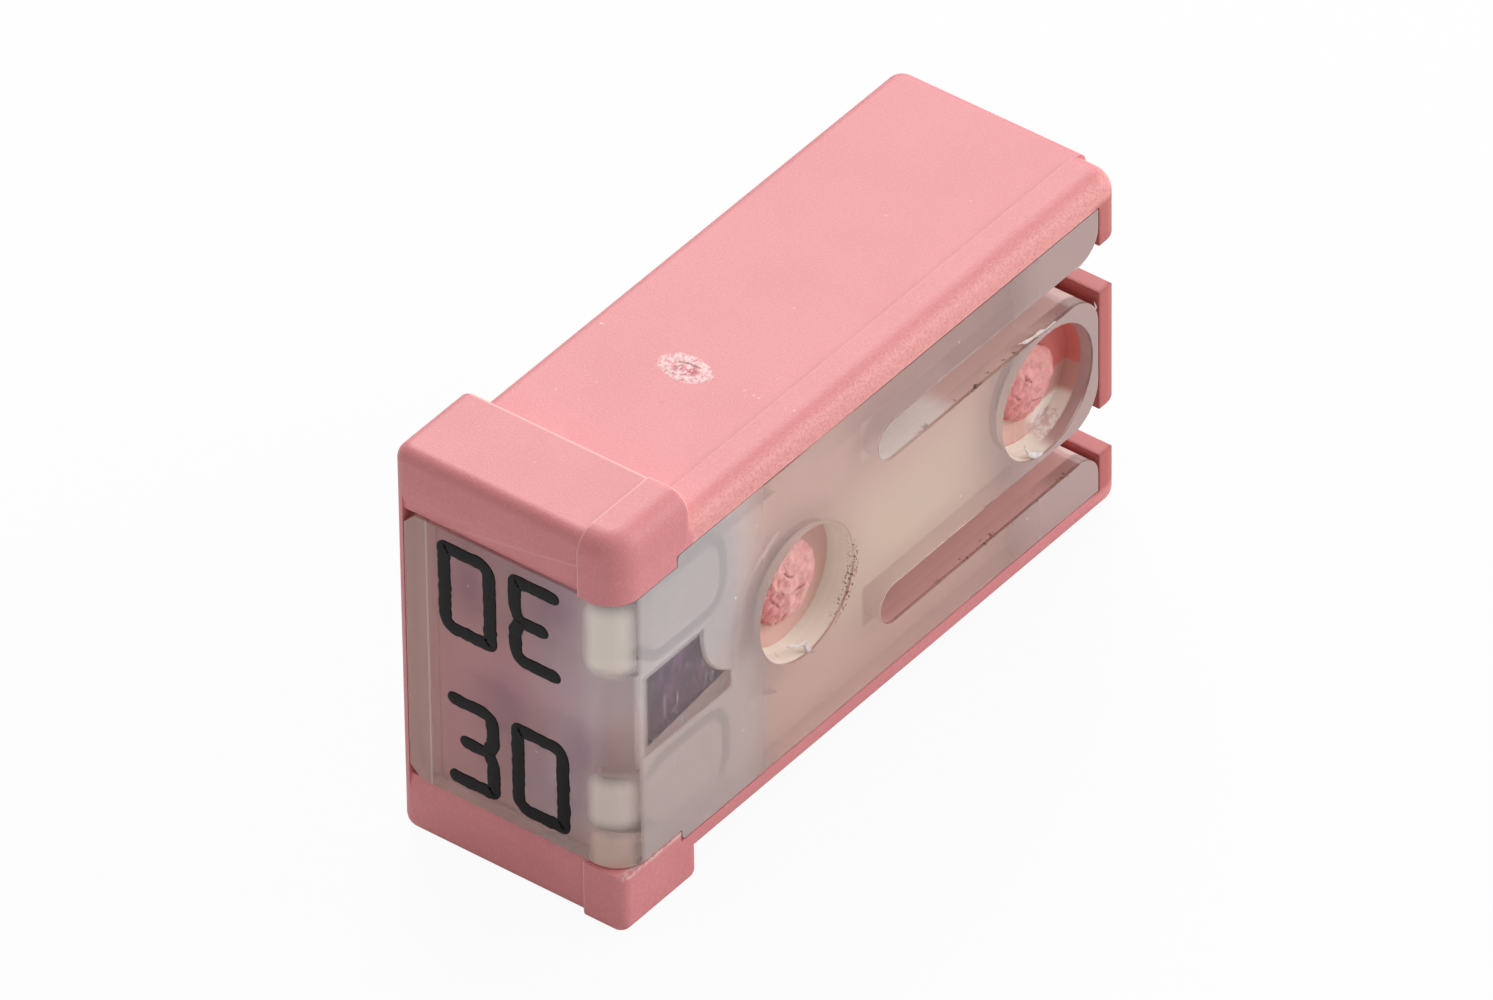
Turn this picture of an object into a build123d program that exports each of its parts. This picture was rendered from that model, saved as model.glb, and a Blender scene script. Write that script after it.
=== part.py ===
from build123d import *

import os

# Mini cartridge fuse for 2.8 mm tabs: a coloured tub housing, a clear cover, one stamped fuse element
# and its tin drop. Millimetres. +X runs from the print end to the terminal end, -Y is the clear front,
# +Y the coloured back, +Z is up. The origin is under the middle of the box, on the plane that the
# collar's foot stands on.

# Housing, outside
body_length = 20.7      # print face to terminal end, behind the rim
body_height = 10.31     # over both narrow walls, behind the rim
body_depth = 7.16       # clear front to coloured back
collar_length = 2.95
collar_height = 12.17   # behind the rim
rim_depth = 1.25        # front band, moulded in the other half of the tool
rim_step = 0.1          # how far that band stands proud above and at the print end
foot_step = 0.03        # how far it stands proud below
rim_short = 0.09        # how far it stops short of the terminal end
rim_round = 0.65        # its upper edges
foot_round = 0.3        # its lower edges
lip_corner_round = 0.9  # upright front corner of the upper lip
foot_corner_round = 0.34
end_corner_round = 0.72  # upright front corners at the terminal end
back_corner_round = 0.45
main_round = 0.38       # edges behind the band
edge_round = 0.18
rim_end_round = 0.26    # inner end of the collar's front band

# Housing, inside
side_wall = 0.57        # narrow walls, behind the rim
back_wall = 1.0
end_wall = 1.1
lip_length = 2.28       # thick lips beside the clear head
lip_wall = 1.83
back_lip = 0.34         # strip of the back wall that shows beside the clear end
seat_length = 0.95      # how far the back wall is thinned for the clear end
entry_height = 1.52     # tab entries through the end wall
entry_drop = 0.05       # their centre, below the slot's
entry_lead = 0.58       # sloping lead-in on the lower side of each entry
witness_line = 0.08     # bevel beside the window
witness_width = 0.62
gate_length = 1.0       # sunk oval mark of the moulding gate
gate_width = 1.55
gate_sink = 0.06
gate_start = 7.7        # middle of the mark, from the print face
gate_y = 0.34

# Tab slots and stake posts
slot_offset = 2.63      # centre of each slot from the middle plane
slot_height = 1.2
slot_start = 10.47      # closed end of the slots, from the print face
print_post = 7.5        # first post, from the print face
end_post = 2.15         # second post, from the inside of the end wall
post_radius = (0.95, 0.87)
head_radius = (1.1, 1.02)
head_depth = 0.62       # below the clear face
sink_depth = 0.78
sink_mouth = (1.94, 1.9)
sink_floor = (1.82, 1.78)
post_gap = 0.06
boss_wall = 0.62

# Cover
cover_gap = 0.04
face_wall = 1.3
head_wall = 1.0         # clear print end
window_wall = 0.62      # thinned area of the face over the link
window_length = 6.55    # from the print face
window_height = 7.5
pad_radius = 2.85
corner_round = 0.9
head_chamfer = 0.34
pocket_start = 1.36     # from the print face
pocket_length = 2.92
pocket_inner = 1.82
pocket_outer = 3.72
pocket_round = 0.6
rib_wall = 0.33
rib_end = 1.75
strip_round = 0.75      # corners of the face at the open slots
tongue_round = 1.1

# Fuse element
sheet = 0.35
band_gap = 0.45         # between clear end and link
leg_offset = 3.25       # outer face of the legs from the middle plane
strip_width = 3.2
strip_front = 1.9       # front edge of the strip, from the clear face
bend = 0.35             # inner bend radius
neck_radius = 0.75
neck_offset = 1.9
shield_height = 2.3     # heat-sink tab folded along the face
shield_end = 4.55       # from the print face
shield_gap = 0.05
shield_bite = 1.9       # radius of the punched arc in its free end
tab_width = 2.8
tab_thickness = 0.8
tab_gap = 0.03
terminal_length = 7.0
terminal_end_gap = 0.35
terminal_side_gap = 0.15
terminal_lip = 1.05
drop_radius = 0.85
drop_height = 0.45

middle = collar_height / 2 + foot_step
front = -body_depth / 2
back = body_depth / 2
print_face = -body_length / 2
end_face = body_length / 2
inner_half = body_height / 2 - side_wall
head_half = collar_height / 2 - lip_wall
floor_y = back - back_wall
inner_end = end_face - end_wall
link_x = print_face + head_wall + band_gap
terminal_start = inner_end - terminal_end_gap - terminal_length
terminal_half = tab_width / 2 + terminal_side_gap + sheet
strip_y = front + strip_front + strip_width / 2
bed_y = strip_y + terminal_half   # the terminals lie against raised beds on the back wall
sides = (1, -1)
post_x = (print_face + print_post, inner_end - end_post)
slot_x = print_face + slot_start


def block(x0, x1, y0, y1, z0, z1):
    """Box between bounds, with z measured from the middle plane."""
    box = Box(x1 - x0, y1 - y0, z1 - z0)
    return Pos((x0 + x1) / 2, (y0 + y1) / 2, middle + (z0 + z1) / 2) * box


def edges_at(shape, axis, **places):
    """Straight edges along an axis whose centre lies at the named places."""
    found = shape.edges().filter_by(axis)
    for name, place in places.items():
        found = [e for e in found if abs(getattr(e.center(), name) - place) < 0.01]
    return found


def rounded(shape, radius, axis, **places):
    return fillet(edges_at(shape, axis, **places), radius)


def rod(x, radius, y0, y1, z=0.0):
    """Round bar along Y."""
    bar = Cylinder(radius, y1 - y0, rotation=(90, 0, 0))
    return Pos(x, (y0 + y1) / 2, middle + z) * bar


def funnel(x, mouth, floor, y0, y1):
    """Cone along Y, wide at y0."""
    cone = Cone(mouth, floor, y1 - y0, rotation=(-90, 0, 0))
    return Pos(x, (y0 + y1) / 2, middle) * cone


def shell_block(inner_x, outer_x, height, rim_x, corners):
    """Body or collar, rounded at its outer end: the main part and the two halves of the front band."""
    half = height / 2
    join = front + rim_depth
    low_x, high_x = sorted((inner_x, outer_x))
    main = block(low_x, high_x, join, back, -half, half)
    main = rounded(main, back_corner_round, Axis.Z, X=outer_x, Y=back)
    for cap in (1, -1):
        main = round_loop(main, cap, main_round, join, inner_x)
    shell = round_end(main, inner_x, edge_round, join)
    low_x, high_x = sorted((inner_x, rim_x))
    steps = (rim_step, foot_step)
    rounds = (rim_round, foot_round)
    for side, corner, step, edge in zip(sides, corners, steps, rounds):
        low_z, high_z = sorted((0, side * (half + step)))
        rim = block(low_x, high_x, front, join, low_z, high_z)
        rim = rounded(rim, corner, Axis.Z, X=rim_x, Y=front)
        rim = round_loop(rim, side, edge, join, inner_x)
        shell += round_end(rim, inner_x, rim_end_round, join)
    return shell


def round_loop(shape, side, radius, join, inner_x):
    """Rounds the edges of the top or bottom face, all but those at the joint plane and the inner end."""
    caps = shape.faces().filter_by(Axis.Z).sort_by(Axis.Z)
    cap = caps[-1] if side > 0 else caps[0]
    loop = [e for e in cap.edges() if abs(e.center().Y - join) > 0.01 and abs(e.center().X - inner_x) > 0.01]
    return fillet(loop, radius)


def round_end(shape, x, radius, join):
    """Lightly rounds the edges round the face at x, all but those at the joint and middle planes."""
    face = shape.faces().filter_by(Axis.X).sort_by(lambda f: abs(f.center().X - x))[0]
    loop = [edge for edge in face.edges() if abs(edge.center().Y - join) > 0.01]
    loop = [edge for edge in loop if abs(edge.center().Z - middle) > 0.01]
    return fillet(loop, radius)


def housing_outside():
    """Body and collar, each a shell block with its own step of the front band."""
    body_start = print_face + collar_length / 2
    band_end = end_face - rim_short
    corners = (end_corner_round, end_corner_round)
    body = shell_block(body_start, end_face, body_height, band_end, corners)
    collar_end = print_face + collar_length
    band_end = print_face - rim_step
    corners = (lip_corner_round, foot_corner_round)
    return body + shell_block(collar_end, print_face, collar_height, band_end, corners)


def tub_room():
    """Room inside the housing, open at the front and at the print end."""
    open_x = print_face - 1
    open_y = front - 1
    lip_x = print_face + lip_length
    room = block(lip_x, inner_end, open_y, floor_y, -inner_half, inner_half)
    room += block(open_x, lip_x + 0.1, open_y, floor_y, -head_half, head_half)
    room += block(open_x, print_face + seat_length, open_y, back - back_lip, -head_half, head_half)
    return room


def tab_entry(side):
    """Open slot through the end wall, as deep as the terminal bed, with a sloping lead-in below."""
    floor_z = side * slot_offset - entry_drop - entry_height / 2
    ceiling_z = floor_z + entry_height
    entry = block(inner_end - 0.5, end_face + 1, front - 1, bed_y, floor_z, ceiling_z)
    far_x = end_face + 0.5
    outline = Polyline(
        (end_face - entry_lead, 0, middle + floor_z),
        (far_x, 0, middle + floor_z - entry_lead - 0.5),
        (far_x, 0, middle + floor_z + 0.01),
        (end_face - entry_lead, 0, middle + floor_z + 0.01),
        close=True,
    )
    lead = extrude(Pos(0, front - 1, 0) * make_face(outline), bed_y - front + 1, dir=(0, 1, 0))
    return entry + lead


def stake_post(index):
    """Post from the back wall with its flattened head in the countersink."""
    x = post_x[index]
    seat = front + sink_depth
    post = rod(x, post_radius[index], seat, floor_y + 0.2)
    head = rod(x, head_radius[index], front + head_depth, seat)
    head = fillet(head.edges().filter_by(GeomType.CIRCLE).sort_by(Axis.Y)[0], 0.12)
    return post + head


def terminal_bed(side):
    """Raised pad on the back wall that carries one terminal."""
    z = side * slot_offset
    half = entry_height / 2
    return block(terminal_start, inner_end + 0.2, bed_y, floor_y + 0.2, z - half, z + half)


def gate_mark():
    """Shallow oval pool left by the moulding gate."""
    top = body_height / 2
    oval = Ellipse(gate_length / 2, gate_width / 2)
    oval = Pos(print_face + gate_start, gate_y, middle + top - gate_sink) * oval
    return extrude(oval, gate_sink * 3)


def window_bevel(side):
    """Fine wedge off the print face beside the window, behind the front band."""
    z = side * head_half
    far = z + side * witness_width
    outline = Polyline(
        (print_face - 0.01, 0, middle + z),
        (print_face + witness_line, 0, middle + z),
        (print_face - 0.01, 0, middle + far),
        close=True,
    )
    width = back - back_lip - front - rim_depth
    return extrude(Pos(0, front + rim_depth, 0) * make_face(outline), width, dir=(0, 1, 0))


def housing():
    tub = housing_outside() - tub_room()
    for side in sides:
        tub -= tab_entry(side)
        tub += terminal_bed(side)
        tub -= window_bevel(side)
    tub -= gate_mark()
    for index in range(len(post_x)):
        tub += stake_post(index)
    return tub


def cover_plate():
    """Face plate with the head that turns the corner at the print end."""
    half = inner_half - cover_gap
    head = head_half - cover_gap
    head_end = print_face + lip_length + cover_gap
    plate = block(head_end, inner_end - cover_gap, front, front + face_wall, -half, half)
    for side in sides:
        plate = rounded(plate, edge_round, Axis.Y, X=head_end, Z=middle + side * half)
    plate += block(print_face, head_end + face_wall, front, front + face_wall, -head, head)
    end = block(print_face, print_face + head_wall, front, back - back_lip - cover_gap, -head, head)
    for side in sides:
        corner = edges_at(end, Axis.X, Y=back - back_lip - cover_gap, Z=middle + side * head)
        end = chamfer(corner, head_chamfer)
    # The clear end stands in the thinned part of the back wall and keeps off its shoulder.
    seat = print_face + seat_length - cover_gap
    end -= block(seat, print_face + head_wall + 1, floor_y - cover_gap, back, -head, head)
    plate += end
    return rounded(plate, corner_round, Axis.Z, X=print_face, Y=front)


def thinned_window():
    """Area behind the face where the wall is thinner, less the pad round the first stake."""
    start = print_face + head_wall
    stop = print_face + window_length
    half = window_height / 2
    area = block(start, stop, front + window_wall, front + face_wall + 0.1, -half, half)
    return area - rod(post_x[0], pad_radius, front, front + face_wall + 1)


def pocket_rib(side):
    """Rounded wall that frames the clear pocket on one side of the link."""
    z = side * (pocket_inner + pocket_outer) / 2
    height = pocket_outer - pocket_inner
    x = print_face + pocket_start + pocket_length / 2
    plane = Plane((x, front + window_wall, middle + z), x_dir=(1, 0, 0), z_dir=(0, -1, 0))
    outer = RectangleRounded(pocket_length + 2 * rib_wall, height + 2 * rib_wall, pocket_round + rib_wall)
    ring = outer - RectangleRounded(pocket_length, height, pocket_round)
    return extrude(plane * ring, -(rib_end - window_wall))


def corner_pillar(side):
    """Solid block behind the print wall, beside the pocket."""
    start = print_face + head_wall - 0.1
    stop = print_face + pocket_start - rib_wall / 2
    low, high = sorted((side * (pocket_inner - rib_wall), side * (pocket_outer + rib_wall)))
    return block(start, stop, front + window_wall - 0.1, front + face_wall, low, high)


def slot_cut(side):
    """Long slot, round at its closed end and open at the terminal end."""
    z = side * slot_offset
    radius = slot_height / 2
    run = block(slot_x + radius, end_face + 1, front - 1, front + face_wall + 1, z - radius, z + radius)
    return run + rod(slot_x + radius, radius, front - 1, front + face_wall + 1, z)


def boss(index):
    """Tube that stands on the back wall round one post."""
    radius = post_radius[index] + post_gap + boss_wall
    return rod(post_x[index], radius, front + window_wall, floor_y)


def cover():
    clear = cover_plate() - thinned_window()
    for side in sides:
        clear += pocket_rib(side)
        clear += corner_pillar(side)
        clear -= slot_cut(side)
    for index in range(len(post_x)):
        clear += boss(index)
    for index, x in enumerate(post_x):
        clear -= rod(x, post_radius[index] + post_gap, front - 1, floor_y + 1)
        clear -= funnel(x, sink_mouth[index], sink_floor[index], front, front + sink_depth)
    end = inner_end - cover_gap
    for side in sides:
        outer = middle + side * (slot_offset + slot_height / 2)
        inner = middle + side * (slot_offset - slot_height / 2)
        clear = rounded(clear, strip_round, Axis.Y, X=end, Z=outer)
        clear = rounded(clear, tongue_round, Axis.Y, X=end, Z=inner)
    return clear


def strip_path():
    """Outline of the bent strip seen along Y: two legs joined by the link at the print end."""
    start = link_x
    stop = terminal_start + 0.2
    outer = leg_offset
    big = bend + sheet
    outside = block(start, stop, front + strip_front, front + strip_front + strip_width, -outer, outer)
    inside = block(start + sheet, stop + 1, front, back, -outer + sheet, outer - sheet)
    for side in sides:
        outside = rounded(outside, big, Axis.Y, X=start, Z=middle + side * outer)
        inside = rounded(inside, bend, Axis.Y, X=start + sheet, Z=middle + side * (outer - sheet))
    return outside - inside


def necks():
    """Half-round notches that narrow the link on both sides of its middle."""
    cut = None
    for side in sides:
        for y in (front + strip_front, front + strip_front + strip_width):
            notch = Cylinder(neck_radius, sheet * 3, rotation=(0, 90, 0))
            notch = Pos(link_x + sheet / 2, y, middle + side * neck_offset) * notch
            cut = notch if cut is None else cut + notch
    return cut


def heat_shield():
    """Tab from the middle of the link, folded along the clear face, with a punched arc at its free end."""
    start = link_x
    face = front + window_wall + shield_gap
    half = shield_height / 2
    big = bend + sheet
    stop = print_face + shield_end
    tab = block(start, stop, face, front + strip_front + 0.2, -half, half)
    tab = rounded(tab, big, Axis.Z, X=start, Y=face)
    hollow = block(start + sheet, stop + 1, face + sheet, back, -half - 1, half + 1)
    hollow = rounded(hollow, bend, Axis.Z, X=start + sheet, Y=face + sheet)
    tab -= hollow
    bite = rod(stop + shield_bite * 0.42, shield_bite, face - 1, face + sheet + 1, half * 0.95)
    return tab - bite


def terminal(side):
    """Female receptacle: the strip widens into a base whose edges roll round the tab."""
    stop = terminal_start + terminal_length
    mouth = terminal_half - sheet
    z = side * slot_offset
    near = tab_thickness / 2 + tab_gap
    tall = near + sheet
    body = block(terminal_start, stop, strip_y - terminal_half, strip_y + terminal_half, z - tall, z + tall)
    for y in (strip_y - terminal_half, strip_y + terminal_half):
        for wall in (z - tall, z + tall):
            body = rounded(body, sheet, Axis.X, Y=y, Z=middle + wall)
    room = block(terminal_start - 1, stop + 1, strip_y - mouth, strip_y + mouth, z - near, z + near)
    opening = terminal_half - terminal_lip
    low, high = sorted((z, z - side * (tall + 1)))
    gap = block(terminal_start - 1, stop + 1, strip_y - opening, strip_y + opening, low, high)
    return body - room - gap


def fuse_element():
    strip = strip_path() - necks()
    strip += heat_shield()
    for side in sides:
        strip += terminal(side)
    return strip


def tin_drop():
    """Domed tin deposit on the inner side of the link."""
    start = link_x + sheet
    ball_radius = (drop_radius**2 + drop_height**2) / (2 * drop_height)
    ball = Pos(start + drop_height - ball_radius, strip_y, middle) * Sphere(ball_radius)
    return split(ball, Plane((start, strip_y, middle), z_dir=(1, 0, 0)), keep=Keep.TOP)


os.makedirs("parts", exist_ok=True)
parts = {
    "housing": housing(),
    "cover": cover(),
    "fuse_element": fuse_element(),
    "tin_drop": tin_drop(),
}
for name, shape in parts.items():
    shape.label = name
    export_step(shape, f"parts/{name}.step")
    print(name, len(shape.solids()), round(shape.volume, 2))
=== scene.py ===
import math

import bmesh
import bpy
import numpy as np
from mathutils import Matrix, Vector


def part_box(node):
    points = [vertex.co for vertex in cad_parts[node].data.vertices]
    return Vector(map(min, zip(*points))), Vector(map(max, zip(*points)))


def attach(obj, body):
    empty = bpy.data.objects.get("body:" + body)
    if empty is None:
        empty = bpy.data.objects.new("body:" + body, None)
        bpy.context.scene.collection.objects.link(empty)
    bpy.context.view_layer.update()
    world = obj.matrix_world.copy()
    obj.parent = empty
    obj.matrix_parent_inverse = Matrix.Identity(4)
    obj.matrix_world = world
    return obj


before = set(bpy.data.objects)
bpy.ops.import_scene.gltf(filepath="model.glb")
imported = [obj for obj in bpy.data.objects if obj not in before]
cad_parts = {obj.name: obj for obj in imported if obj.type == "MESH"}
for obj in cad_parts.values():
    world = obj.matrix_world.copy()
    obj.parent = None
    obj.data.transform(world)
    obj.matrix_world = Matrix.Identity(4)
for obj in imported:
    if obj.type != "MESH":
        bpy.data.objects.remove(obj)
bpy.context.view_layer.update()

# ---------------------------------------------------------------------------------------------
# HOUSING. One injection moulding in pink polyester: the tub, its collar and the two posts. It has
# a fine spark-eroded texture, a witness line across one narrow side, and a painted highlight along
# the parting step where the proud front band meets the rest.

housing_low, housing_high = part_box("housing")
cover_low, cover_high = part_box("cover")
print_x = cover_low[0]
clear_y = cover_low[1]
middle_z = (cover_low[2] + cover_high[2]) / 2
band_y = clear_y + 0.00125          # rear edge of the proud front band
body_top_z = middle_z + 0.005155    # the narrow side behind the band
collar_x = print_x + 0.0029         # rear edge of the collar
witness_x = -0.00246
lower_lip_z = middle_z - 0.00431    # edge of the lip below the print end
edge_ease = 0.00016


def srgb(red, green, blue):
    """Display colour, 0 to 255, as the linear colour that a shader takes: the standard curve undone."""
    value = np.array((red, green, blue)) / 255.0
    linear = np.where(value <= 0.04045, value / 12.92, ((value + 0.055) / 1.055) ** 2.4)
    return (*[float(c) for c in linear], 1.0)


class Finish:
    """A node material under construction, with short calls for the nodes that the finishes share.
    Its colour is built up in coats, each laid over the ones before."""

    def __init__(self, name):
        self.material = bpy.data.materials.new(name)
        self.material.use_nodes = True
        self.nodes = self.material.node_tree.nodes
        self.shader = self.nodes["Principled BSDF"]
        self.place = self.node("ShaderNodeTexCoord").outputs["Object"]
        self.colour = None

    def node(self, kind, **settings):
        made = self.nodes.new(kind)
        for key, value in settings.items():
            setattr(made, key, value)
        return made

    def wire(self, source, target):
        """Links an output to a socket, or sets the socket when the source is a plain value."""
        if isinstance(source, (int, float, tuple)):
            target.default_value = source
        else:
            self.material.node_tree.links.new(source, target)

    def calc(self, operation, first, second=0.0, third=0.0, clamp=False):
        made = self.node("ShaderNodeMath", operation=operation, use_clamp=clamp)
        for value, socket in zip((first, second, third), made.inputs):
            self.wire(value, socket)
        return made.outputs[0]

    def both(self, *masks):
        """Product of masks and shares: what all of them cover."""
        value = masks[0]
        for other in masks[1:]:
            value = self.calc("MULTIPLY", value, other)
        return value

    def either(self, *masks):
        """Largest of several masks: what any of them covers."""
        value = masks[0]
        for other in masks[1:]:
            value = self.calc("MAXIMUM", value, other)
        return value

    def outside(self, mask):
        """One less the mask."""
        return self.calc("SUBTRACT", 1.0, mask)

    def off(self, value, centre):
        """Distance of a value from a centre, either way."""
        return self.calc("ABSOLUTE", self.calc("SUBTRACT", value, centre))

    def axis(self, which):
        split = self.node("ShaderNodeSeparateXYZ")
        self.wire(self.place, split.inputs[0])
        return split.outputs[which]

    def moved(self, offset, scale):
        """Object coordinates with offset taken away, then scaled."""
        shifted = self.node("ShaderNodeVectorMath", operation="SUBTRACT")
        self.wire(self.place, shifted.inputs[0])
        shifted.inputs[1].default_value = offset
        scaled = self.node("ShaderNodeVectorMath", operation="MULTIPLY")
        self.wire(shifted.outputs[0], scaled.inputs[0])
        scaled.inputs[1].default_value = scale
        return scaled.outputs[0]

    def reach(self, centre, scale=(1.0, 0.0, 1.0)):
        """Distance from a centre, with each axis scaled: as it stands, measured in the wide face."""
        made = self.node("ShaderNodeVectorMath", operation="LENGTH")
        self.wire(self.moved(centre, scale), made.inputs[0])
        return made.outputs["Value"]

    def noise(self, scale, detail=3.0, rough=0.55, vector=None):
        made = self.node("ShaderNodeTexNoise")
        made.inputs["Scale"].default_value = scale
        made.inputs["Detail"].default_value = detail
        made.inputs["Roughness"].default_value = rough
        self.wire(self.place if vector is None else vector, made.inputs["Vector"])
        return made.outputs["Fac"]

    def specks(self, scale, edge, core):
        """Round specks, one to a cell, and the random numbers that go with each of them."""
        cells = self.node("ShaderNodeTexVoronoi")
        cells.inputs["Scale"].default_value = scale
        self.wire(self.place, cells.inputs["Vector"])
        lots = self.node("ShaderNodeSeparateColor")
        self.wire(cells.outputs["Color"], lots.inputs[0])
        return self.ramp(cells.outputs["Distance"], edge, core), lots.outputs

    def attribute(self, name):
        return self.node("ShaderNodeAttribute", attribute_name=name).outputs["Fac"]

    def ramp(self, value, low, high, out_low=0.0, out_high=1.0):
        """Value from low to high, carried smoothly to out_low to out_high."""
        made = self.node("ShaderNodeMapRange", interpolation_type="SMOOTHSTEP")
        self.wire(value, made.inputs[0])
        for number, socket in zip((low, high, out_low, out_high), made.inputs[1:5]):
            socket.default_value = number
        return made.outputs[0]

    def blend(self, share, first, second):
        made = self.node("ShaderNodeMix", data_type="RGBA")
        self.wire(share, made.inputs[0])
        self.wire(first, made.inputs[6])
        self.wire(second, made.inputs[7])
        return made.outputs[2]

    def coat(self, mask, colour):
        """Lays a colour over the coats so far, where the mask is."""
        self.colour = self.blend(mask, self.colour, colour)

    def bump(self, height, depth, strength, under=None):
        made = self.node("ShaderNodeBump")
        made.inputs["Strength"].default_value = strength
        made.inputs["Distance"].default_value = depth
        self.wire(height, made.inputs["Height"])
        if under is not None:
            self.wire(under, made.inputs["Normal"])
        return made.outputs[0]

    def set(self, **values):
        """Gives the shader the colour built up so far and the values named."""
        self.wire(self.colour, self.shader.inputs["Base Color"])
        for name, value in values.items():
            self.wire(value, self.shader.inputs[name.replace("_", " ")])


def dress(node, finish):
    """Gives a CAD node its finish."""
    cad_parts[node].material_slots[0].material = finish.material


pink = Finish("moulded_pink")
pink_x, pink_y, pink_z = pink.axis(0), pink.axis(1), pink.axis(2)
pink_side = pink.off(pink_z, middle_z)
on_top = pink.ramp(pink_z, body_top_z - 0.00012, body_top_z - 0.00007)
# Faint clouds and a coarse grain, with a few light and dark flecks. The narrow side is a little
# deeper in colour towards the terminals.
cloud = pink.noise(420.0, 5.0)
grain = pink.noise(15000.0, 2.0, 0.6)
pink.colour = pink.blend(pink.ramp(cloud, 0.3, 0.7), srgb(227, 139, 142), srgb(232, 145, 148))
pink.coat(pink.ramp(grain, 0.52, 0.72, 0.0, 0.3), srgb(246, 176, 173))
pink.coat(pink.ramp(grain, 0.46, 0.3, 0.0, 0.22), srgb(214, 122, 126))
fleck, lots = pink.specks(2300.0, 0.11, 0.05)
pink.coat(pink.both(fleck, pink.ramp(lots[0], 0.90, 0.93, 0.0, 0.45)), srgb(252, 208, 206))
pink.coat(pink.both(fleck, pink.ramp(lots[1], 0.972, 0.985, 0.0, 0.5)), srgb(150, 84, 88))
pink.coat(pink.both(on_top, pink.ramp(pink_x, -0.0068, 0.009, 0.12, 0.3)), srgb(210, 124, 128))
# The witness line across the side, broken into dots, and a painted highlight along the parting
# step of the front band.
dashes = pink.ramp(pink.noise(4600.0, 2.0), 0.62, 0.68)
witness = pink.both(pink.ramp(pink.off(pink_x, witness_x), 0.00006, 0.00003), dashes, on_top)
pink.coat(pink.both(witness, 0.7), srgb(252, 216, 214))
parting_highlight = pink.ramp(pink.off(pink_y, band_y), 0.00004, 0.00002)
parting_highlight = pink.both(parting_highlight, pink.ramp(pink_x, collar_x, collar_x + 0.0002, 0.6, 0.16))
pink.coat(parting_highlight, srgb(250, 196, 196))
# Painted highlights: along the collar's rear edge, and in a pale line slanting across its print
# side where a small step catches the light.
rear_edge_highlight = pink.ramp(pink.off(pink_x, collar_x), 0.00014, 0.00007)
rear_edge_highlight = pink.both(rear_edge_highlight, pink.ramp(pink_z, body_top_z + 0.0001, body_top_z + 0.0002))
pink.coat(pink.both(rear_edge_highlight, 0.7), srgb(255, 196, 182))
slant = pink.off(pink_z, pink.calc("MULTIPLY_ADD", pink_y, -0.192, middle_z + 0.00468))
slant_highlight = pink.both(
    pink.ramp(slant, 0.00005, 0.00002), pink.ramp(pink_x, -0.0102, -0.0103),
    pink.ramp(pink_y, band_y, band_y + 0.0001),
)
pink.coat(pink.both(slant_highlight, 0.2), srgb(250, 196, 196))
# Crumbs of clear plastic are smeared over the edge of the lower lip.
tear = pink.noise(6500.0, 5.0, 0.72)
smear = pink.both(
    pink.ramp(pink.off(pink_z, lower_lip_z), 0.0001, 0.00004),
    pink.ramp(pink_y, clear_y + 0.0003, clear_y + 0.0001),
    pink.ramp(pink_x, -0.0078, -0.0082), pink.ramp(tear, 0.42, 0.55),
)
pink.coat(pink.both(smear, 0.5), srgb(252, 232, 226))
# The rounded upper lip along the face carries a painted sheen: lighter, more peach and coarser in grain.
lip_sheen = pink.both(
    pink.ramp(pink_y, clear_y + 0.0013, clear_y + 0.0003), pink.ramp(pink_side, 0.0053, 0.0050),
    pink.ramp(pink_x, -0.0075, -0.0073), pink.ramp(pink_z, middle_z + 0.003, middle_z + 0.004),
    pink.ramp(grain, 0.3, 0.65, 0.15, 0.75),
)
pink.coat(lip_sheen, srgb(254, 178, 170))
# The end wall is thin between the tab entries, and painted shade deepens its colour there.
end_wall_shade = pink.both(
    pink.ramp(pink_x, 0.0088, 0.0092), pink.ramp(pink_side, 0.0048, 0.0045),
    pink.ramp(pink_y, clear_y + 0.0034, clear_y + 0.0012, 0.0, 0.8),
)
pink.coat(end_wall_shade, srgb(188, 88, 82))
# The edges at the terminal end are eased, and those elsewhere are left as they are.
eased = pink.node("ShaderNodeBevel", samples=4)
eased.inputs["Radius"].default_value = edge_ease
plain = pink.node("ShaderNodeNewGeometry")
end_only = pink.ramp(pink_x, 0.0076, 0.0080)
end_only = pink.both(end_only, pink.ramp(pink_z, body_top_z - 0.0005, body_top_z - 0.0008))
toward = pink.node("ShaderNodeMix", data_type="VECTOR")
pink.wire(end_only, toward.inputs[0])
pink.wire(plain.outputs["Normal"], toward.inputs[4])
pink.wire(eased.outputs[0], toward.inputs[5])
pink.set(Normal=pink.bump(grain, 0.000012, 0.9, toward.outputs[1]), Roughness=0.47, IOR=1.48)
dress("housing", pink)

# ---------------------------------------------------------------------------------------------
# COVER. One moulding in milky clear polycarbonate: the wide face, the print end and the ribs,
# pockets and tubes behind them. Dropped into the tub over the element and staked on two posts.

post_one = (print_x + 0.0075, 0.0, middle_z)
post_two = (housing_high[0] - 0.00325, 0.0, middle_z)
sink_radius = 0.0020        # countersink round each post
sink_depth = 0.00076
slot_middle = 0.00263       # centre of each slot from the middle plane
slot_half = 0.0006
end_wall = 0.0011           # depth to which the print end lets the strip behind it be seen
shield_from, shield_to = -0.0089, -0.0058
ridge_depth = 0.00609       # a drawn ridge down the rear of the print end

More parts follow.
